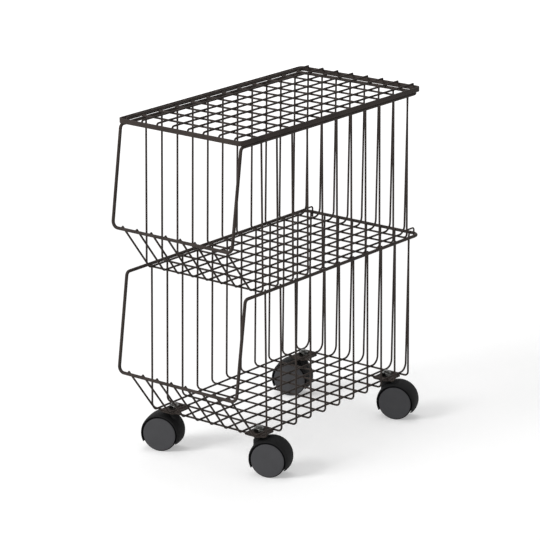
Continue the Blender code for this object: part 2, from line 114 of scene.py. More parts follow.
@dataclass(frozen=True)
class BasketSizes:
    """Wires and rod of one basket, in the frame of its middle crosswise wire."""

    gap: float = 0.0003
    wire_r: float = 0.0014
    solid_sides: int = 6
    weld_sink: float = 0.00025
    cross_count: int = 11
    cross_edge: float = 0.0095
    long_count: int = 8
    long_edge: float = 0.0136
    side_bend_r: float = 0.006
    back_bend_r: float = 0.012
    front_bend_r: float = 0.006
    wall_flare: float = 0.0024
    back_lean: float = 0.0038
    floor_front: float = 0.1745
    wall_tip: float = 0.0020
    front_tip: float = 0.0006
    rim_r: float = 0.0023
    rim_rise: float = 0.2085
    rim_half: float = 0.1035
    rim_back: float = 0.1857
    top_reach: float = 0.2125
    bar_reach: float = 0.2323
    bar_rise: float = 0.0697
    rear_bend_r: float = 0.012
    top_bend_r: float = 0.006
    bar_bend_r: float = 0.009

    @property
    def cross_rise(self) -> float:
        """Lengthwise wires above the crosswise ones, as the solids' flats meet."""
        return 2 * self.wire_r * math.cos(math.pi / self.solid_sides) - self.weld_sink

    @property
    def wall_offset(self) -> float:
        """Axis of a wall wire to the axis of the rod it is welded to."""
        return self.rim_r + self.gap + self.wire_r

    @property
    def wall_top_half(self) -> float:
        """Half width between the side walls at the rim."""
        return self.rim_half - self.wall_offset

    @property
    def floor_half(self) -> float:
        """Half width between the side walls at the floor."""
        return self.wall_top_half + self.wall_flare

    @property
    def back_top(self) -> float:
        """Back wall at the rim."""
        return self.rim_back - self.wall_offset

    @property
    def back_floor(self) -> float:
        """Back wall at the floor."""
        return self.back_top - self.back_lean

    @property
    def long_span(self) -> float:
        """First to last lengthwise wire."""
        return 2 * (self.floor_half - self.long_edge)

    @property
    def long_pitch(self) -> float:
        """One lengthwise wire to the next."""
        return self.long_span / (self.long_count - 1)

    @property
    def cross_span(self) -> float:
        """First to last crosswise wire."""
        return 2 * (self.floor_front - self.cross_edge)

    @property
    def cross_pitch(self) -> float:
        """One crosswise wire to the next."""
        return self.cross_span / (self.cross_count - 1)

    @property
    def stack_rise(self) -> float:
        """Height of one basket above the one that it stands on.

        Returns:
            The height at which the upper one's side bends rest on the lower one's rim.
        """
        reach = self.side_bend_r + self.wire_r + self.gap + self.rim_r
        side = self.rim_half - (self.floor_half - self.side_bend_r)
        return self.rim_rise + math.sqrt(reach**2 - side**2) - self.side_bend_r


@dataclass(frozen=True)
class CasterSizes:
    """One caster with its plate and nut, in the frame of its stem."""

    wheel_r: float = 0.0250
    wheel_out: float = 0.0155
    wheel_in: float = 0.0060
    tread_round: float = 0.0009
    cap_r: float = 0.0237
    cap_t: float = 0.0010
    cap_edge: float = 0.0005
    cap_step: float = 0.000125
    axle_r: float = 0.0030
    axle_half: float = 0.0125
    bore_gap: float = 0.0003
    trail: float = 0.0170
    hood_r: float = 0.02884
    hood_end_r: float = 0.02724
    hood_half: float = 0.0168
    hood_drop: float = 0.0122
    lip: float = 0.0006
    well_gap: float = 0.0011
    web_half: float = 0.0054
    neck_r: float = 0.0068
    neck_rise: float = 0.0311
    neck_root: float = 0.0100
    collar_r: float = 0.0060
    collar_t: float = 0.0015
    stem_r: float = 0.0040
    stem_end: float = 0.0028
    thread_pitch: float = 0.00125
    thread_depth: float = 0.0006
    pin_r: float = 0.0036
    pin_drop: float = 0.0160
    nut_sides: int = 6
    nut_flat_half: float = 0.0065
    nut_t: float = 0.0060
    nut_face_share: float = 0.97
    nut_slope: float = math.radians(30)
    plate_t: float = 0.0015
    plate_half_x: float = 0.0145
    plate_half_y: float = 0.0180
    plate_round: float = 0.0066
    plate_edge: float = 0.00025
    gap: float = 0.0003
    swivel: float = math.radians(20.8)

    @property
    def neck_top(self) -> float:
        """Top of the neck above the floor."""
        return self.wheel_r + self.neck_rise

    @property
    def plate_z(self) -> float:
        """Underside of the corner plate."""
        return self.neck_top + self.gap + self.collar_t + self.gap

    @property
    def nut_z(self) -> float:
        """Underside of the nut."""
        return self.plate_z + self.plate_t + self.gap


@dataclass(frozen=True)
class StackSizes:
    """How the baskets, clips and lid stand on each other."""

    setback: float = 0.0081
    clip_r: float = 0.0012
    clip_room: float = 0.0035
    clip_grip: float = 0.0080
    clip_weld: float = 1 / 3
    clip_drop: float = 0.0085
    clip_bend_r: float = 0.0035
    band_t: float = 0.0020
    band_h: float = 0.0068
    band_edge: float = 0.0004
    band_bend_r: float = 0.006
    seat_share: float = 0.385
    lid_nose: float = 0.0025
    lid_cross_count: int = 11
    lid_first: float = 0.0330
    lid_last: float = 0.0297
    lid_long_count: int = 8
    lid_long_edge: float = 0.0127
    curl_r: float = 0.0035
    curl_drop: float = 0.0065
    curl_weld: float = 2 / 3
    draw_in: float = 0.0002


BASKET = BasketSizes()
CASTER = CasterSizes()
STACK = StackSizes()


def basket_origin(level: Level) -> Vector:
    """Middle of a basket's floor mesh.

    Args:
        level: Which basket.

    Returns:
        Its place in the rack's frame.
    """
    front = STACK.setback + BASKET.bar_reach + BASKET.rim_r
    back = BASKET.rim_back + BASKET.rim_r + BASKET.gap + 2 * STACK.clip_r
    lower = Vector((0, (front - back) / 2, CASTER.nut_z + BASKET.wire_r))
    if level is Level.LOWER:
        return lower
    return lower + Vector((0, -STACK.setback, BASKET.stack_rise))


# Finishes


def feed(node: bpy.types.Node, **inputs: object) -> bpy.types.NodeOutputs:
    """Sets a node's inputs.

    Args:
        node: The node.
        inputs: A value for each input, or the output that feeds it, with _ for a space in its name.

    Returns:
        The node's outputs.
    """
    for label, value in inputs.items():
        socket = node.inputs[label.replace("_", " ")]
        if isinstance(value, Socket):
            node.id_data.links.new(value, socket)
        else:
            socket.default_value = value
    return node.outputs


def mapped(tree: Tree, value: Socket, given: Span, wanted: Span) -> Socket:
    """Maps one range of a value onto another."""
    ends = dict(zip(("From_Min", "From_Max", "To_Min", "To_Max"), (*given, *wanted)))
    return feed(tree.nodes.new("ShaderNodeMapRange"), Value=value, **ends)["Result"]


def joined(tree: Tree, operation: str, *values: Socket) -> Socket:
    """Makes one value of two.

    Args:
        tree: The node tree that it goes into.
        operation: The Math node's operation.
        values: The two values.

    Returns:
        The result.
    """
    node = tree.nodes.new("ShaderNodeMath")
    node.operation = operation
    for socket, value in zip(node.inputs, values):
        tree.links.new(value, socket)
    return node.outputs[0]


@dataclass(frozen=True)
class Finish:
    """A finish with a soft cloud in its colour and its gloss, and a fine relief.

    Cloud and grain are noises, each given by its features per metre and its finer layers.
    """

    name: str
    slot: str
    dark: Triple
    light: Triple
    smooth: float
    rough: float
    specular: float
    cloud: Span
    grain: Span
    grain_share: float
    grain_depth: float
    grain_stretch: Triple = (1, 1, 1)
    metallic: float = 0
    noise_span: Span = (0.3, 0.7)

    def noise(self, tree: Tree, size: Span, stretch: Triple = (1, 1, 1)) -> Socket:
        """Adds noise over the piece.

        Args:
            tree: The material's node tree.
            size: Its features per metre and its finer layers.
            stretch: Scale along each axis, for a turned or brushed look.

        Returns:
            The noise's value, mostly within the noise span.
        """
        place = tree.nodes.new("ShaderNodeTexCoord").outputs["Object"]
        place = feed(tree.nodes.new("ShaderNodeMapping"), Vector=place, Scale=stretch)["Vector"]
        noise = tree.nodes.new("ShaderNodeTexNoise")
        return feed(noise, Vector=place, Scale=size[0], Detail=size[1])["Fac"]

    def material(self) -> Material:
        """Builds the finish.

        Returns:
            The material.
        """
        material = bpy.data.materials.new(self.name)
        material.use_nodes = True
        tree = material.node_tree
        cloud, grain = self.noise(tree, self.cloud), self.noise(tree, self.grain, self.grain_stretch)
        shade = tree.nodes.new("ShaderNodeMix")
        shade.data_type = "RGBA"
        pick = mapped(tree, cloud, self.noise_span, (0, 1))
        feed(shade, Factor=pick, A=(*self.dark, 1), B=(*self.light, 1))
        relief = tree.nodes.new("ShaderNodeBump")
        feed(relief, Height=grain, Strength=self.grain_share, Distance=self.grain_depth)
        feed(
            tree.nodes["Principled BSDF"],
            Base_Color=shade.outputs["Result"],
            Roughness=mapped(tree, cloud, self.noise_span, (self.smooth, self.rough)),
            Metallic=self.metallic,
            Specular_IOR_Level=self.specular,
            Normal=relief.outputs["Normal"],
        )
        return material


@dataclass(frozen=True)
class PowderCoat(Finish):
    """Dark brown-black powder coat, baked on wire: satin, with a faint orange peel."""

    name: str = "powder_coat"
    slot: str = "coated_steel"
    dark: Triple = (0.034, 0.028, 0.025)
    light: Triple = (0.058, 0.047, 0.042)
    smooth: float = 0.48
    rough: float = 0.60
    specular: float = 0.06
    cloud: Span = (45, 3)
    grain: Span = (900, 2)
    grain_share: float = 0.35
    grain_depth: float = 0.00002


@dataclass(frozen=True)
class MouldedNylon(Finish):
    """Moulded nylon: a fine spark-eroded grain, with slightly uneven gloss."""

    cloud: Span = (60, 2)
    grain: Span = (2600, 1)
    grain_share: float = 0.3
    grain_depth: float = 0.00005


@dataclass(frozen=True)
class ZincPlate(Finish):
    """Zinc-plated steel: dark and a little cloudy, with fine turning marks."""

    name: str = "zinc_plate"
    slot: str = "bare_steel"
    dark: Triple = (0.045, 0.045, 0.043)
    light: Triple = (0.16, 0.16, 0.152)
    smooth: float = 0.14
    rough: float = 0.30
    specular: float = 0.5
    cloud: Span = (240, 3)
    grain: Span = (700, 1)
    grain_share: float = 0.2
    grain_depth: float = 0.00003
    grain_stretch: Triple = (1, 1, 8)
    metallic: float = 1


HOOD_SHADES = (0.0176, 0.0176, 0.01804), (0.0224, 0.0224, 0.02296)
TREAD_SHADES = (0.00616, 0.00616, 0.0066), (0.00784, 0.00784, 0.0084)
FACE_SHADES = (0.0627, 0.0627, 0.0665), (0.0693, 0.0693, 0.0735)

COAT = PowderCoat()
HOOD = MouldedNylon("hood_nylon", "hood_plastic", *HOOD_SHADES, smooth=0.57, rough=0.67, specular=0.03)
TREAD = MouldedNylon("tread_nylon", "tread_plastic", *TREAD_SHADES, smooth=0.65, rough=0.75, specular=0.04)
FACE = MouldedNylon("face_nylon", "cap_plastic", *FACE_SHADES, smooth=0.55, rough=0.65, specular=0.15)
ZINC = ZincPlate()


# Shapes


def fillet(before: Vector, corner: Vector, after: Vector, radius: float, steps: int) -> list[Vector]:
    """Rounds a corner of a path.

    Args:
        before: Point before the corner.
        corner: The sharp corner.
        after: Point after it.
        radius: Bend radius.
        steps: Straight pieces that stand for the arc.

    Returns:
        The points of the arc.
    """
    u = (before - corner).normalized()
    v = (after - corner).normalized()
    turn = math.pi - u.angle(v)
    start = corner + u * radius * math.tan(turn / 2)
    end = corner + v * radius * math.tan(turn / 2)
    centre = corner + (u + v).normalized() * radius / math.cos(turn / 2)
    axis = (start - centre).cross(end - centre)
    return [centre + Quaternion(axis, turn * k / steps) @ (start - centre) for k in range(steps + 1)]


def bent(corners: list[Triple], bends: list[Bend | None]) -> list[Vector]:
    """Rounds the corners of a path.

    Args:
        corners: Sharp corners, in order.
        bends: Radius and steps at each, None at a free end.

    Returns:
        The path's points.
    """
    sharp = [Vector(corner) for corner in corners]
    points: list[Vector] = []
    for index, (corner, bend) in enumerate(zip(sharp, bends)):
        after = sharp[(index + 1) % len(sharp)]
        points += fillet(sharp[index - 1], corner, after, *bend) if bend else [corner]
    return points


def blunt(points: list[Vector], length: float) -> list[Vector]:
    """Adds a point just inside each end of a path, where a cut wire's end starts to round."""
    first, last = (end + (near - end).normalized() * length for end, near in (points[:2], points[:-3:-1]))
    return [points[0], first, *points[1:-1], last, points[-1]]


def arc(centre: Span, radius: float, start: float, sweep: float, steps: int) -> Profile:
    """Lays points along an arc, whose start and sweep are in quarter turns."""
    angles = [QUARTER * (start + sweep * k / steps) for k in range(steps + 1)]
    return [(centre[0] + radius * math.cos(a), centre[1] + radius * math.sin(a)) for a in angles]


def round_cornered(half_x: float, half_y: float, radius: float, steps: int) -> Profile:
    """Outlines a rectangle with round corners, from half its sides."""
    centres = [(x * (half_x - radius), y * (half_y - radius)) for x, y in CORNER_SIGNS]
    return [point for turn, centre in enumerate(centres) for point in arc(centre, radius, turn, 1, steps)]


def closed_mesh(bm: bmesh.types.BMesh, name: str, outwards: bool = True) -> Mesh:
    """Turns a bmesh into a mesh that is smooth but for its sharp edges.

    Args:
        bm: The shape, which is freed.
        name: The mesh's name.
        outwards: Whether its faces are turned outwards first.

    Returns:
        The mesh.
    """
    if outwards:
        bmesh.ops.recalc_face_normals(bm, faces=bm.faces)
    mesh = bpy.data.meshes.new(name)
    bm.to_mesh(mesh)
    bm.free()
    mesh.shade_smooth()
    mesh.set_sharp_from_angle(angle=SHARP)
    return mesh


def turned(profile: Profile, name: str, place: Matrix = UPRIGHT, sides: int = TURNED_SIDES) -> Mesh:
    """Makes a solid turned round the local Z axis.

    Args:
        profile: (distance along the axis, radius) pairs. A radius of 0 ends in a point.
        name: The mesh's name.
        place: From the lathe's frame to the piece's.
        sides: Facets round it.

    Returns:
        Its mesh.
    """
    bm = bmesh.new()
    rings = []
    for along, radius in profile:
        angles = [2 * math.pi * k / sides for k in range(sides if radius > 0 else 1)]
        points = [Vector((radius * math.cos(a), radius * math.sin(a), along)) for a in angles]
        rings.append([bm.verts.new(place @ point) for point in points])
    for near, far in zip(rings, rings[1:]):
        for k in range(sides):
            after = (k + 1) % sides
            corners = [near[k % len(near)], near[after % len(near)], far[after % len(far)], far[k % len(far)]]
            unique = list(dict.fromkeys(corners))
            if len(unique) > 2:
                bm.faces.new(unique)
    for ring in (rings[0], rings[-1]):
        if len(ring) > 1:
            bm.faces.new(ring)
    return closed_mesh(bm, name)


def ring_solid(loops: list[list[Vector]], name: str) -> Mesh:
    """Skins a row of loops of as many points each, the last joined to the first.

    Args:
        loops: The loops, in order.
        name: The mesh's name.

    Returns:
        Its mesh.
    """
    bm = bmesh.new()
    rows = [[bm.verts.new(point) for point in loop] for loop in loops]
    for near, far in zip(rows, [*rows[1:], rows[0]]):
        for k in range(len(near)):
            after = (k + 1) % len(near)
            bm.faces.new((near[k], near[after], far[after], far[k]))
    return closed_mesh(bm, name)


def combined(meshes: list[Mesh], name: str) -> Mesh:
    """Puts several meshes into one.

    Args:
        meshes: The meshes, which are removed.
        name: The new mesh's name.

    Returns:
        The new mesh.
    """
    bm = bmesh.new()
    for mesh in meshes:
        bm.from_mesh(mesh)
        bpy.data.meshes.remove(mesh)
    return closed_mesh(bm, name, outwards=False)


def linked(name: str, data: bpy.types.ID) -> bpy.types.Object:
    """Makes an object of a mesh, curve, lamp or camera and links it to the scene.

    Args:
        name: The object's name.
        data: What it is made of.

    Returns:
        The object.
    """
    obj = bpy.data.objects.new(name, data)
    bpy.context.collection.objects.link(obj)
    return obj


def evaluated(obj: bpy.types.Object) -> Mesh:
    """Takes an object's shape, as its modifiers leave it, as a plain mesh."""
    bpy.context.view_layer.update()
    return bpy.data.meshes.new_from_object(obj.evaluated_get(bpy.context.evaluated_depsgraph_get()))


def carve(base: Mesh, steps: list[tuple[str, Mesh]]) -> Mesh:
    """Runs a chain of exact Boolean steps.

    Args:
        base: The mesh to start from.
        steps: (operation, mesh) pairs, in order.

    Returns:
        The result.
    """
    body = linked("carved", base)
    helpers = [linked("helper", mesh) for _, mesh in steps]
    for (operation, _), helper in zip(steps, helpers):
        modifier = body.modifiers.new(operation, "BOOLEAN")
        modifier.operation = operation
        modifier.solver = "EXACT"
        modifier.object = helper
    result = evaluated(body)
    for obj in (body, *helpers):
        bpy.data.objects.remove(obj, do_unlink=True)
    return combined([result], "carved")


# Geometry Nodes


class NodeTool:
    """A Geometry Nodes tree with named inputs, and how to run it."""

    def __init__(self, name: str, **inputs: str) -> None:
        """Makes a tree that takes a geometry, the named inputs and a material.

        Args:
            name: The tree's name.
            inputs: Kind of each named input.
        """
        self.tree = bpy.data.node_groups.new(name, "GeometryNodeTree")
        face = self.tree.interface
        for way in ("INPUT", "OUTPUT"):
            face.new_socket("Geometry", in_out=way, socket_type="NodeSocketGeometry")
        self.sockets: dict[str, str] = {}
        for label, kind in (*inputs.items(), ("Material", "Material")):
            socket = face.new_socket(label, in_out="INPUT", socket_type=f"NodeSocket{kind}")
            self.sockets[label] = socket.identifier
        self.given = self.add("NodeGroupInput")

    def add(self, kind: str, **inputs: object) -> bpy.types.NodeOutputs:
        """Adds a node, sets its inputs and gives its outputs."""
        return feed(self.tree.nodes.new(kind), **inputs)

    def repeat(self, thing: Socket, count: str, step: str, **start: Socket) -> Socket:
        """Sets a thing on every point of a line."""
        line = self.add("GeometryNodeMeshLine", Count=self.given[count], Offset=self.given[step], **start)
        return self.add("GeometryNodeInstanceOnPoints", Points=line["Mesh"], Instance=thing)["Instances"]

    def close(self, instances: Socket) -> "NodeTool":
        """Ends the tree in Realize Instances and Set Material.

        Args:
            instances: What the tree has made.

        Returns:
            The tool.
        """
        real = self.add("GeometryNodeRealizeInstances", Geometry=instances)["Geometry"]
        painted = self.add("GeometryNodeSetMaterial", Geometry=real, Material=self.given["Material"])
        self.add("NodeGroupOutput", Geometry=painted["Geometry"])
        return self

    def run(self, data: bpy.types.ID, **values: object) -> Mesh:
        """Runs the tree.

        Args:
            data: The curve or mesh that goes in.
            values: A value for each named input.

        Returns:
            The result as a plain mesh.
        """
        obj = linked("source", data)
        modifier = obj.modifiers.new(self.tree.name, "NODES")
        modifier.node_group = self.tree
        for label, value in values.items():
            modifier[self.sockets[label]] = value
        mesh = evaluated(obj)
        obj.modifiers.remove(modifier)
        bpy.data.objects.remove(obj, do_unlink=True)
        return mesh


def rod_row_tool() -> NodeTool:
    """Builds the tree that sweeps round rod along a curve and repeats it at a pitch.

    Returns:
        The tool.
    """
    tool = NodeTool("rod_row", Radius="Float", Sides="Int", Count="Int", Start="Vector", Step="Vector")
    given = tool.given
    circle = tool.add("GeometryNodeCurvePrimitiveCircle", Resolution=given["Sides"], Radius=given["Radius"])
    taper = tool.add("GeometryNodeInputRadius")
    rod = tool.add(
        "GeometryNodeCurveToMesh",
        Curve=given["Geometry"],
        Profile_Curve=circle["Curve"],
        Scale=taper["Radius"],
        Fill_Caps=True,
    )
    return tool.close(tool.repeat(rod["Mesh"], "Count", "Step", Start_Location=given["Start"]))


def weld_grid_tool() -> NodeTool:
    """Builds the tree that sets one weld bead at every crossing of two rows of wires.

    Returns:
        The tool.
    """
    kinds = {"Columns": "Int", "Rows": "Int", "Start": "Vector", "Across": "Vector", "Along": "Vector"}
    tool = NodeTool("weld_grid", **kinds)
    line = tool.repeat(tool.given["Geometry"], "Columns", "Across")
    return tool.close(tool.repeat(line, "Rows", "Along", Start_Location=tool.given["Start"]))


@dataclass
class Workshop:
    """The tools and materials that every sub-assembly shares."""

    rod_row: NodeTool = field(default_factory=rod_row_tool)
    weld_grid: NodeTool = field(default_factory=weld_grid_tool)
    paint: dict[Finish, Material] = field(
        default_factory=lambda: {finish: finish.material() for finish in (COAT, HOOD, TREAD, FACE, ZINC)}
    )
    end_round: float = 0.0004
    end_share: float = 0.72
    rod_sides: int = 16
    bead_sides: int = 8
    bead_rings: int = 4
    count: int = 0

    def rods(
        self, path: list[Vector], radius: float, row: Row = ONE, start: Vector = Vector(), loop: bool = False
    ) -> Mesh:
        """Makes a row of equal round rods.

        Args:
            path: Axis of one rod.
            radius: Its radius.
            row: How many there are, and the step from one to the next.
            start: Place of the first.
            loop: Whether the rod is a loop.

        Returns:
            The rods as one mesh.
        """
        points = path if loop else blunt(path, self.end_round)
        curve = bpy.data.curves.new("rod", "CURVE")
        curve.dimensions = "3D"
        spline = curve.splines.new("POLY")
        spline.points.add(len(points) - 1)
        spline.use_cyclic_u = loop
        for index, point in enumerate(points):
            end = not loop and index in (0, len(points) - 1)
            spline.points[index].co = (*point, 1)
            spline.points[index].radius = self.end_share if end else 1
        values = {"Radius": radius, "Sides": self.rod_sides, "Count": row[0], "Start": start, "Step": row[1]}
        return self.rod_row.run(curve, **values, Material=self.paint[COAT])

    def beads(self, bead: Bead, start: Vector, across: Row = ONE, along: Row = ONE, tilt: float = 0) -> Mesh:
        """Makes a grid of weld beads.

        Args:
            bead: Which bead.
            start: Place of the first one.
            across: How many stand side by side, and the step from one to the next.
            along: How many such rows there are, and the step from one to the next.
            tilt: Turn of each bead about X.

        Returns:
            The beads as one mesh.
        """
        bm = bmesh.new()
        shape = Matrix.Rotation(tilt, 4, "X") @ Matrix.Diagonal((*bead.value, 1))
        facets = {"u_segments": self.bead_sides, "v_segments": self.bead_rings}
        bmesh.ops.create_uvsphere(bm, radius=1, matrix=shape, **facets)
        values = {"Columns": across[0], "Across": across[1], "Rows": along[0], "Along": along[1]}
        return self.weld_grid.run(closed_mesh(bm, "bead"), Start=start, **values, Material=self.paint[COAT])

    def piece(self, name: str, mesh: Mesh, place: Matrix, finish: Finish, body: str, node: str) -> None:
        """Puts a finished piece in the scene, on its body, in place of its solid.

        Args:
            name: The piece's name.
            mesh: Its mesh.
            place: From the mesh's frame to the rack's.
            finish: Its finish.
            body: The body that it rides on.
            node: The solid that it stands for.
        """
        mesh.transform(place)
        mesh.materials.clear()
        mesh.materials.append(self.paint[finish])
        mesh.name = name
        obj = linked(name, mesh)
        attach(obj, body)
        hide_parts(node)
        self.count += 1
        LOG.info("%s: %d faces on %s", name, len(mesh.polygons), body)


@dataclass
class WireGrid:
    """Two crossing rows of equal wires, and the beads that weld them.

    The long wires lie along Y, side by side. The cross wires lie along X, one behind the other.
    """

    shop: Workshop
    wire_r: float
    across: Row
    along: Row
    first_x: float
    first_y: float

    def long_wires(self, path: list[Vector]) -> Mesh:
        """Makes the long wires from the path of a middle one."""
        return self.shop.rods(path, self.wire_r, self.across, Vector((self.first_x, 0, 0)))

    def cross_wires(self, path: list[Vector], z: float = 0) -> Mesh:
        """Makes the cross wires from the path of a middle one."""
        return self.shop.rods(path, self.wire_r, self.along, Vector((0, self.first_y, z)))

    def crossings(self, z: float) -> Mesh:
        """Sets a bead at every crossing."""
        return self.shop.beads(Bead.UP, Vector((self.first_x, self.first_y, z)), self.across, self.along)

    def side_welds(self, x: float, z: float) -> list[Mesh]:
        """Sets a bead at both sides of every cross wire."""
        starts = [Vector((side.value * x, self.first_y, z)) for side in Side]
        return [self.shop.beads(Bead.ACROSS, start, along=self.along) for start in starts]

    def bar_welds(self, bead: Bead, y: float, z: float, tilt: float = 0) -> Mesh:
        """Sets a bead on every long wire where it meets a bar."""
        return self.shop.beads(bead, Vector((self.first_x, y, z)), self.across, tilt=tilt)


# Sub-assemblies


@dataclass
class Basket:
    """One basket: the bent rod of its rim and the wires welded to it."""

    shop: Workshop
    level: Level
    sizes: BasketSizes = BASKET
    small_bend: int = 8
    large_bend: int = 10
    grid: WireGrid = field(init=False)

    def __post_init__(self) -> None:
        """Lays out the two rows of wires."""
        s = self.sizes
        across = (s.long_count, Vector((s.long_pitch, 0, 0)))
        along = (s.cross_count, Vector((0, s.cross_pitch, 0)))
        self.grid = WireGrid(self.shop, s.wire_r, across, along, -s.long_span / 2, -s.cross_span / 2)

    def rim(self) -> Mesh:
        """Makes the rim, one rod bent into a loop.

        Returns:
            Its mesh.
        """
        s = self.sizes
        x, top = s.rim_half, s.rim_rise
        corners = [(-x, s.rim_back, top), (x, s.rim_back, top), (x, -s.top_reach, top)]
        corners += [(x, -s.bar_reach, s.bar_rise), (-x, -s.bar_reach, s.bar_rise), (-x, -s.top_reach, top)]
        radii = (s.rear_bend_r, s.rear_bend_r, s.top_bend_r, s.bar_bend_r, s.bar_bend_r, s.top_bend_r)
        path = bent(corners, [(radius, self.large_bend) for radius in radii])
        return combined([self.shop.rods(path, s.rim_r, loop=True)], "rim")

    def cross_path(self) -> list[Vector]:
        """Bends a U-shaped wire: down one wall, across the floor and up the other.

        Returns:
            Its path.
        """
        s = self.sizes
        lean = (s.wall_top_half - s.floor_half) / s.rim_rise
        top_half, top = s.wall_top_half + lean * s.wall_tip, s.rim_rise + s.wall_tip
        corners = [(-top_half, 0, top), (-s.floor_half, 0, 0), (s.floor_half, 0, 0), (top_half, 0, top)]
        bend = (s.side_bend_r, self.small_bend)
        return bent(corners, [None, bend, bend, None])

    def front_run(self) -> tuple[Vector, Vector]:
        """Lays a long wire's sloping front, from the floor to just inside the front bar.

        Returns:
            Its foot and its end, at the basket's middle.
        """
        s = self.sizes
        foot = Vector((0, -s.floor_front, s.cross_rise))
        to_bar = Vector((0, -s.bar_reach, s.bar_rise)) - foot
        swing = math.asin(s.wall_offset / to_bar.length)
        ahead = Quaternion((1, 0, 0), -swing) @ to_bar.normalized()
        return foot, foot + ahead * (math.sqrt(to_bar.length**2 - s.wall_offset**2) + s.front_tip)

    def long_path(self) -> list[Vector]:
        """Bends a long wire: down the sloping front, along the floor and up the back.

        Returns:
            Its path.
        """
        s = self.sizes
        foot, end = self.front_run()
        lean = s.back_lean / (s.rim_rise - s.cross_rise)
        heel = (0, s.back_floor, s.cross_rise)
        tip = (0, s.back_top + lean * s.wall_tip, s.rim_rise + s.wall_tip)
        bends = [None, (s.front_bend_r, self.small_bend), (s.back_bend_r, self.large_bend), None]
        return bent([end, foot, heel, tip], bends)

    def welds(self) -> list[Mesh]:
        """Makes the weld beads at the crossings, along the rim and on the front bar.

        Returns:
            Their meshes.
        """
        s = self.sizes
        foot, end = self.front_run()
        run = (end - foot).normalized()
        inward = Vector((0, run.z, -run.y))
        seam = Vector((0, -s.bar_reach, s.bar_rise)) + inward * (s.rim_r + s.gap / 2)
        return [
            self.grid.crossings(s.cross_rise / 2),
            *self.grid.side_welds(s.rim_half - s.rim_r, s.rim_rise),
            self.grid.bar_welds(Bead.ALONG, s.rim_back - s.rim_r, s.rim_rise),
            self.grid.bar_welds(Bead.ALONG, seam.y, seam.z, math.atan2(inward.z, inward.y)),
        ]

    def build(self) -> None:
        """Makes the basket's pieces and puts them on its body."""
        name, place = self.level.value, Matrix.Translation(basket_origin(self.level))
        body = f"{name}_basket"
        cross, long = self.grid.cross_wires(self.cross_path()), self.grid.long_wires(self.long_path())
        wires = combined([cross, long, *self.welds()], "wires")
        self.shop.piece(f"{name}_rim", self.rim(), place, COAT, body, f"{body}_rim")
        self.shop.piece(f"{name}_wires", wires, place, COAT, body, f"{body}_wires")


@dataclass
class StackingClips:
    """The two small hooks that hold the upper basket's back to the lower rim."""

    shop: Workshop
    sizes: StackSizes = STACK
    basket: BasketSizes = BASKET
    bend_steps: int = 8

    def clip(self, side: Side) -> Mesh:
        """Makes one clip beside an outer back wire, with its weld.

        Args:
            side: Which one.

        Returns:
            Its mesh.
        """
        b, s = self.basket, self.sizes
        wire_side = b.long_span / 2 + b.wire_r
        x = side.value * (wire_side + b.gap + s.clip_r)
        bar_z = b.rim_rise - b.stack_rise
        run_z, tip_z = bar_z + b.rim_r + s.clip_room + s.clip_r, bar_z - s.clip_drop
        hook_y = b.rim_back + b.rim_r + b.gap + s.clip_r + s.setback - s.draw_in
        corners = [(x, b.back_floor - s.clip_grip, run_z), (x, hook_y, run_z), (x, hook_y, tip_z)]
        wire = self.shop.rods(bent(corners, [None, (s.clip_bend_r, self.bend_steps), None]), s.clip_r)
        seam = Vector((side.value * wire_side, b.back_floor - s.clip_grip * s.clip_weld, run_z))
        return combined([wire, self.shop.beads(Bead.CLIP, seam)], "clip")

    def build(self) -> None:
        """Makes both clips and puts them on the upper basket."""
        place = Matrix.Translation(basket_origin(Level.UPPER))
        for side in Side:
            clip = f"clip_{side.name.lower()}"
            self.shop.piece(clip, self.clip(side), place, COAT, "upper_basket", f"stacking_{clip}")


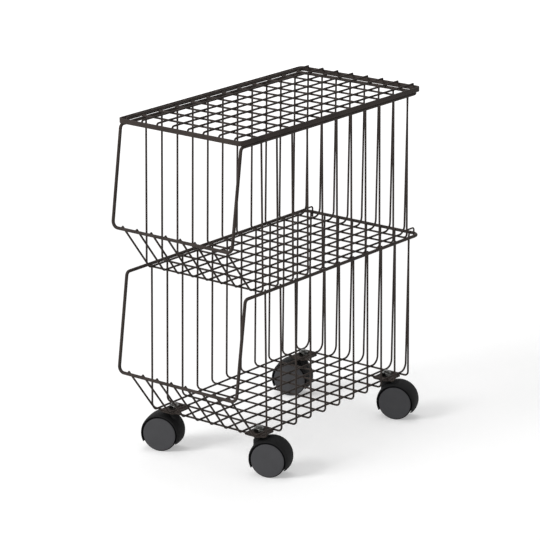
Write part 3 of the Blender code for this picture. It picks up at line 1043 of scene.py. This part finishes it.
@dataclass
class Lid:
    """The lid: a flat bar bent into a frame and a grid of wires welded into it."""

    shop: Workshop
    sizes: StackSizes = STACK
    basket: BasketSizes = BASKET
    bend_steps: int = 8
    edge_steps: int = 3
    half: float = field(init=False)
    back: float = field(init=False)
    front: float = field(init=False)
    band_z: float = field(init=False)
    long_z: float = field(init=False)
    cross_z: float = field(init=False)
    grid: WireGrid = field(init=False)

    def __post_init__(self) -> None:
        """Works out where the frame and the wires lie, in the upper basket's frame."""
        b, s = self.basket, self.sizes
        seat = b.rim_r + b.gap
        reach = seat * s.seat_share + s.band_t / 2
        self.half, self.back, self.front = b.rim_half + reach, b.rim_back + reach, b.top_reach + s.lid_nose
        self.band_z = b.rim_rise + seat * math.sqrt(1 - s.seat_share**2)
        self.long_z = self.band_z + s.band_h + b.gap + b.wire_r - s.draw_in
        self.cross_z = self.long_z - b.cross_rise
        long_span = 2 * (self.half - s.lid_long_edge)
        cross_span = self.front + self.back - s.lid_first - s.lid_last
        across = (s.lid_long_count, Vector((long_span / (s.lid_long_count - 1), 0, 0)))
        along = (s.lid_cross_count, Vector((0, cross_span / (s.lid_cross_count - 1), 0)))
        self.grid = WireGrid(self.shop, b.wire_r, across, along, -long_span / 2, s.lid_first - self.front)

    def band(self) -> Mesh:
        """Makes the frame: a flat bar with rolled edges, swept round the lid's outline.

        Returns:
            Its mesh.
        """
        s = self.sizes
        section = round_cornered(s.band_t / 2, s.band_h / 2, s.band_edge, self.edge_steps)
        middle = self.band_z + s.band_h / 2
        x, back, front = self.half, self.back, -self.front
        corners = [(x, back, 0), (-x, back, 0), (-x, front, 0), (x, front, 0)]
        path = bent(corners, [(s.band_bend_r, self.bend_steps)] * len(corners))
        loops = []
        for last, point, following in zip([path[-1], *path], path, [*path[1:], path[0]]):
            before = (point - last).normalized()
            ahead = (before + (following - point).normalized()).normalized()
            outward = Vector((ahead.y, -ahead.x, 0)) / before.dot(ahead)
            loops.append([point + outward * out + Vector((0, 0, middle + up)) for out, up in section])
        return ring_solid(loops, "frame")

    def wires(self) -> list[Mesh]:
        """Makes the grid's wires. The long ones curl down behind the frame's front bar.

        Returns:
            Their meshes.
        """
        b, s = self.basket, self.sizes
        reach = self.half - s.band_t / 2 - b.gap
        curl_y = -self.front + s.band_t / 2 + b.gap + b.wire_r
        corners = [(0, curl_y, self.long_z - s.curl_drop), (0, curl_y, self.long_z)]
        corners.append((0, self.back + s.band_t / 2 - b.gap, self.long_z))
        curled = bent(corners, [None, (s.curl_r, self.bend_steps), None])
        straight = [Vector((-reach, 0, 0)), Vector((reach, 0, 0))]
        return [self.grid.cross_wires(straight, self.cross_z), self.grid.long_wires(curled)]

    def welds(self) -> list[Mesh]:
        """Makes the weld beads of the grid and of its wires on the frame.

        Returns:
            Their meshes.
        """
        s = self.sizes
        curl_z = self.long_z - s.curl_drop * s.curl_weld
        return [
            self.grid.crossings((self.long_z + self.cross_z) / 2),
            *self.grid.side_welds(self.half - s.band_t / 2, self.cross_z),
            self.grid.bar_welds(Bead.UP, self.back, self.band_z + s.band_h),
            self.grid.bar_welds(Bead.ALONG, -self.front + s.band_t / 2, curl_z),
        ]

    def build(self) -> None:
        """Makes the lid's pieces and puts them on its body."""
        place = Matrix.Translation(basket_origin(Level.UPPER))
        grid = combined([*self.wires(), *self.welds()], "grid")
        self.shop.piece("lid_band", self.band(), place, COAT, "lid", "lid_frame")
        self.shop.piece("lid_wires", grid, place, COAT, "lid", "lid_grid")


@dataclass
class Caster:
    """One caster with the plate and nut that hold it, in the frame of its stem."""

    shop: Workshop
    corner: Corner
    sizes: CasterSizes = CASTER
    crown_points: int = 13
    lip_steps: int = 4
    corner_steps: int = 6
    overrun: float = 0.002

    @property
    def axle(self) -> Matrix:
        """From a lathe's frame to the caster's, with the lathe's axis on the axle."""
        middle = Matrix.Translation((self.sizes.trail, 0, self.sizes.wheel_r))
        return middle @ Matrix.Rotation(-QUARTER, 4, "X")

    @property
    def foot(self) -> Matrix:
        """From the stem's frame to the rack's.

        Returns:
            The stem's place, in the middle of a corner mesh of the basket's floor.
        """
        side_x, side_y = self.corner.value
        x = side_x * (BASKET.long_span - BASKET.long_pitch) / 2
        y = side_y * (BASKET.cross_span - BASKET.cross_pitch) / 2
        return Matrix.Translation((x, basket_origin(Level.LOWER).y + y, 0))

    @property
    def place(self) -> Matrix:
        """From the caster's frame, which trails along X, to the rack's."""
        turn = self.sizes.swivel + (math.pi if self.corner.value[0] < 0 else 0)
        return self.foot @ Matrix.Rotation(turn, 4, "Z")

    def hood_profile(self) -> Profile:
        """Shapes the crowned outside of the hood with a rounded lip at each end.

        Returns:
            (distance along the axle, radius) pairs.
        """
        s = self.sizes
        crown = []
        for index in range(self.crown_points):
            share = 2 * index / (self.crown_points - 1) - 1
            rise = (s.hood_r - s.hood_end_r) * math.sqrt(1 - share**2)
            crown.append((share * (s.hood_half - s.lip), s.hood_end_r + rise))
        lip = arc((s.lip - s.hood_half, s.hood_end_r - s.lip), s.lip, 2, -1, self.lip_steps)[:-1]
        return [*lip, *crown, *((-along, radius) for along, radius in reversed(lip))]

    def housing(self) -> Mesh:
        """Makes the hood with its wheel wells, web, neck and bores.

        Returns:
            Its mesh.
        """
        s, over, axle = self.sizes, self.overrun, self.axle
        foot_z = s.wheel_r + s.neck_root
        flare_z = s.wheel_r + math.sqrt(s.hood_r**2 - s.trail**2)
        neck = [(foot_z, s.neck_r + 2 * s.lip), (flare_z, s.neck_r + 2 * s.lip)]
        neck += [(flare_z + s.lip, s.neck_r + s.lip), (flare_z + 3 * s.lip, s.neck_r)]
        neck += [(s.neck_top - s.lip, s.neck_r), (s.neck_top, s.neck_r - s.lip)]
        steps = [("UNION", turned(neck, "neck"))]
        well_r = s.wheel_r + s.well_gap
        for side in (-1, 1):
            well = [(side * s.web_half, well_r), (side * (s.hood_half + over), well_r)]
            steps.append(("DIFFERENCE", turned(well, "well", axle)))
        reach, width = s.hood_r + over, s.hood_half + over
        depth = (reach - s.hood_drop) / 2
        under = Matrix.Translation((s.trail, 0, s.wheel_r - s.hood_drop - depth))
        block = bmesh.new()
        size = Matrix.Diagonal((2 * reach, 2 * width, 2 * depth, 1))
        bmesh.ops.create_cube(block, size=1, matrix=under @ size)
        steps.append(("DIFFERENCE", closed_mesh(block, "under")))
        bore_r = s.axle_r + s.bore_gap
        bore = [(-s.web_half - over, bore_r), (s.web_half + over, bore_r)]
        steps.append(("DIFFERENCE", turned(bore, "bore", axle)))
        socket_z, socket_r = s.neck_top + s.gap - s.pin_drop - s.bore_gap, s.pin_r + s.bore_gap
        socket = [(socket_z, socket_r), (s.neck_top + over, socket_r)]
        steps.append(("DIFFERENCE", turned(socket, "socket")))
        return carve(turned(self.hood_profile(), "hood", axle), steps)

    def on_axle(self, profile: Profile, side: WheelSide, name: str) -> Mesh:
        """Makes a turned piece of one wheel, from a profile that runs outwards."""
        return turned([(side.value * along, radius) for along, radius in profile], name, self.axle)

    def wheel(self, side: WheelSide) -> Mesh:
        """Makes one wheel with a rounded tread and a dished, bored inner side.

        Args:
            side: The way that it faces.

        Returns:
            Its mesh.
        """
        s, r = self.sizes, self.sizes.tread_round
        bore_r, bore_end, dish = s.axle_r + s.bore_gap, s.axle_half + s.bore_gap, 2 * r
        profile = [(bore_end, 0), (bore_end, bore_r), (s.wheel_in, bore_r), (s.wheel_in, bore_r + dish)]
        profile += [(s.wheel_in + dish, bore_r + 2 * dish), (s.wheel_in + dish, s.wheel_r - 2 * dish)]
        profile.append((s.wheel_in, s.wheel_r - dish))
        profile += arc((s.wheel_in + r, s.wheel_r - r), r, 2, -1, self.lip_steps)
        profile += arc((s.wheel_out - r, s.wheel_r - r), r, 1, -1, self.lip_steps)
        return self.on_axle([*profile, (s.wheel_out, 0)], side, "wheel")

    def cap(self, side: WheelSide) -> Mesh:
        """Makes the grey disc on a wheel's face, with a fine step near its edge.

        Args:
            side: The way that it faces.

        Returns:
            Its mesh.
        """
        s, r, edge, step = self.sizes, self.sizes.cap_r, self.sizes.cap_edge, self.sizes.cap_step
        start = s.wheel_out + s.gap
        top, inner = start + s.cap_t, r - 3 * edge
        profile = [(start, 0), (start, r - edge / 2), (start + edge / 2, r)]
        profile += arc((top - step - edge, r - edge), edge, 1, -1, self.lip_steps)
        profile += [(top - step, inner), (top, inner - step), (top, 0)]
        return self.on_axle(profile, side, "cap")

    def nut(self) -> Mesh:
        """Makes the hex nut: a prism with both faces chamfered to a cone, and its bore.

        Returns:
            Its mesh.
        """
        s = self.sizes
        bottom, top = s.nut_z, s.nut_z + s.nut_t
        corner_r = s.nut_flat_half / math.cos(math.pi / s.nut_sides)
        prism = turned([(bottom, corner_r), (top, corner_r)], "prism", sides=s.nut_sides)
        face_r, bore_r = s.nut_flat_half * s.nut_face_share, s.stem_r + s.gap
        flare = corner_r + (corner_r - face_r)
        depth = (corner_r - s.nut_flat_half) * math.tan(s.nut_slope) + (corner_r - face_r)
        cone = [(bottom, face_r), (bottom + depth, flare), (top - depth, flare), (top, face_r)]
        hole = [(bottom - s.gap, bore_r), (top + s.gap, bore_r)]
        return carve(prism, [("INTERSECT", turned(cone, "cone")), ("DIFFERENCE", turned(hole, "hole"))])

    def stem(self) -> Mesh:
        """Makes the stem: threaded end, collar under the plate and pin in the neck.

        Returns:
            Its mesh.
        """
        s = self.sizes
        low = s.neck_top + s.gap
        top, chamfer = s.nut_z + s.nut_t + s.stem_end, s.thread_depth
        profile = [(low - s.pin_drop, 0), (low - s.pin_drop, s.pin_r), (low, s.pin_r)]
        profile += [(low, s.collar_r - chamfer / 2), (low + chamfer / 2, s.collar_r)]
        profile += [(low + s.collar_t, s.collar_r), (low + s.collar_t, s.stem_r)]
        z = s.plate_z + s.plate_t + s.nut_t / 2
        while z + s.thread_pitch < top - chamfer:
            profile += [(z, s.stem_r), (z + s.thread_pitch / 2, s.stem_r - s.thread_depth)]
            z += s.thread_pitch
        return turned([*profile, (top - chamfer, s.stem_r), (top, s.stem_r - chamfer), (top, 0)], "stem")

    def plate(self) -> Mesh:
        """Makes the corner plate: rounded corners, broken edges and its hole.

        Returns:
            Its mesh.
        """
        s = self.sizes
        shape = (s.plate_half_x, s.plate_half_y, s.plate_round)
        full = round_cornered(*shape, self.corner_steps)
        narrow = round_cornered(*(size - s.plate_edge for size in shape), self.corner_steps)
        hole_r = s.stem_r + s.gap
        angles = [math.atan2(y, x) for x, y in full]
        hole = [(hole_r * math.cos(a), hole_r * math.sin(a)) for a in angles]
        bottom, top = s.plate_z, s.plate_z + s.plate_t
        rows = [(narrow, bottom), (full, bottom + s.plate_edge), (full, top - s.plate_edge)]
        rows += [(narrow, top), (hole, top), (hole, bottom)]
        return ring_solid([[Vector((x, y, z)) for x, y in row] for row, z in rows], "plate")

    def build(self) -> None:
        """Makes the caster's pieces and puts each on its body."""
        piece, at = self.shop.piece, self.corner.name.lower()
        base = "lower_basket"
        piece(f"plate_{at}", self.plate(), self.foot, COAT, base, f"corner_plate_{at}")
        piece(f"nut_{at}", self.nut(), self.foot, ZINC, base, f"hex_nut_{at}")
        piece(f"bolt_{at}", self.stem(), self.foot, ZINC, base, f"stem_{at}")
        piece(f"hood_{at}", self.housing(), self.place, HOOD, f"caster_{at}", f"housing_{at}")
        for side in WheelSide:
            end = f"{side.name.lower()}_{at}"
            wheel = f"wheel_{end}"
            piece(f"tyre_{end}", self.wheel(side), self.place, TREAD, wheel, wheel)
            piece(f"face_{end}", self.cap(side), self.place, FACE, wheel, f"wheel_cap_{end}")


# Studio


@dataclass(frozen=True)
class Lamp:
    """A soft square lamp: its place, its side and its power."""

    name: str
    place: Triple
    size: float
    watts: float


@dataclass(frozen=True)
class Studio:
    """Floor, lamps, world and camera: nothing of it belongs to the rack."""

    floor_half: float = 9.0
    floor_drop: float = 0.0003
    floor_colour: Triple = (0.80, 0.80, 0.80)
    floor_roughness: float = 0.9
    floor_glow: float = 0.34
    fade: Span = (1.2, 4.0)
    world_level: float = 0.40
    white: tuple[float, float, float, float] = (1, 1, 1, 1)
    lamps: tuple[Lamp, ...] = (
        Lamp("key", (-3.4, -7.6, 5.0), 3.6, 600),
        Lamp("top", (-1.2, 0.8, 7.0), 3.2, 110),
    )
    target: Triple = (-0.00367, 0.00259, 0.24611)
    camera_place: Triple = (2.3084, -2.9377, 1.3801)
    lens_mm: float = 186.3
    sensor_mm: float = 36
    clip_end: float = 60

    def seen(self, tree: Tree) -> Socket:
        """Adds what tells the rays that see the backdrop from those that light the rack.

        Args:
            tree: The node tree that it goes into.

        Returns:
            1 for camera, glossy and transmission rays, otherwise 0.
        """
        rays = tree.nodes.new("ShaderNodeLightPath").outputs
        mirrored = joined(tree, "MAXIMUM", rays["Is Camera Ray"], rays["Is Glossy Ray"])
        return joined(tree, "MAXIMUM", mirrored, rays["Is Transmission Ray"])

    def floor_paint(self) -> Material:
        """Makes the floor's matte white, which fades to the backdrop's white far away.

        Returns:
            The material.
        """
        material = bpy.data.materials.new("floor")
        material.use_nodes = True
        tree = material.node_tree
        away = tree.nodes.new("ShaderNodeVectorMath")
        away.operation = "LENGTH"
        feed(away, Vector=tree.nodes.new("ShaderNodeTexCoord").outputs["Object"])
        level = mapped(tree, away.outputs["Value"], self.fade, (self.floor_glow, 1))
        feed(
            tree.nodes["Principled BSDF"],
            Base_Color=(*self.floor_colour, 1),
            Roughness=self.floor_roughness,
            Specular_IOR_Level=0,
            Emission_Color=self.white,
            Emission_Strength=joined(tree, "MULTIPLY", level, self.seen(tree)),
        )
        return material

    def floor(self) -> None:
        """Lays the pale floor, which keeps the rack's shadow."""
        bm = bmesh.new()
        bmesh.ops.create_grid(bm, x_segments=1, y_segments=1, size=self.floor_half)
        mesh = closed_mesh(bm, "floor", outwards=False)
        mesh.transform(Matrix.Translation((0, 0, -self.floor_drop)))
        mesh.materials.append(self.floor_paint())
        linked("floor", mesh)

    def world(self) -> None:
        """Sets an even pale sky, white where the camera or a reflection sees it."""
        world = bpy.data.worlds.new("studio")
        world.use_nodes = True
        level = mapped(world.node_tree, self.seen(world.node_tree), (0, 1), (self.world_level, 1))
        feed(world.node_tree.nodes["Background"], Color=self.white, Strength=level)
        bpy.context.scene.world = world

    def aimed(self, name: str, data: bpy.types.ID, place: Triple) -> bpy.types.Object:
        """Sets up a lamp or the camera so that it looks at the rack.

        Args:
            name: The object's name.
            data: The lamp or camera.
            place: Where it stands.

        Returns:
            The object.
        """
        obj = linked(name, data)
        obj.location = place
        obj.rotation_euler = (Vector(self.target) - Vector(place)).to_track_quat("-Z", "Y").to_euler()
        return obj

    def light(self) -> None:
        """Hangs the lamps."""
        for lamp in self.lamps:
            data = bpy.data.lights.new(lamp.name, "AREA")
            data.size = lamp.size
            data.energy = lamp.watts
            self.aimed(lamp.name, data, lamp.place)

    def camera(self) -> None:
        """Sets the camera at the photograph's angle."""
        data = bpy.data.cameras.new("camera")
        data.lens = self.lens_mm
        data.sensor_width = self.sensor_mm
        data.clip_end = self.clip_end
        bpy.context.scene.camera = self.aimed("camera", data, self.camera_place)

    def build(self) -> None:
        """Sets up the whole studio."""
        self.floor()
        self.world()
        self.light()
        self.camera()
        bpy.context.scene.view_settings.view_transform = "Standard"


def dress_frame(shop: Workshop) -> None:
    """Gives the axles, which stay as solids, their zinc finish.

    Args:
        shop: Where the finish is.
    """
    for name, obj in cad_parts.items():
        if name.startswith("axle_"):
            for slot in obj.material_slots:
                slot.material = shop.paint[ZINC]
            LOG.info("%s: dressed", name)


def main() -> None:
    """Builds every sub-assembly and the studio, in order."""
    logging.basicConfig(level=logging.INFO, format="%(name)s: %(message)s")
    shop = Workshop()
    for level in Level:
        Basket(shop, level).build()
    StackingClips(shop).build()
    Lid(shop).build()
    for corner in Corner:
        Caster(shop, corner).build()
    dress_frame(shop)
    Studio().build()
    LOG.info("%d pieces", shop.count)


if __name__ == "__main__":
    main()
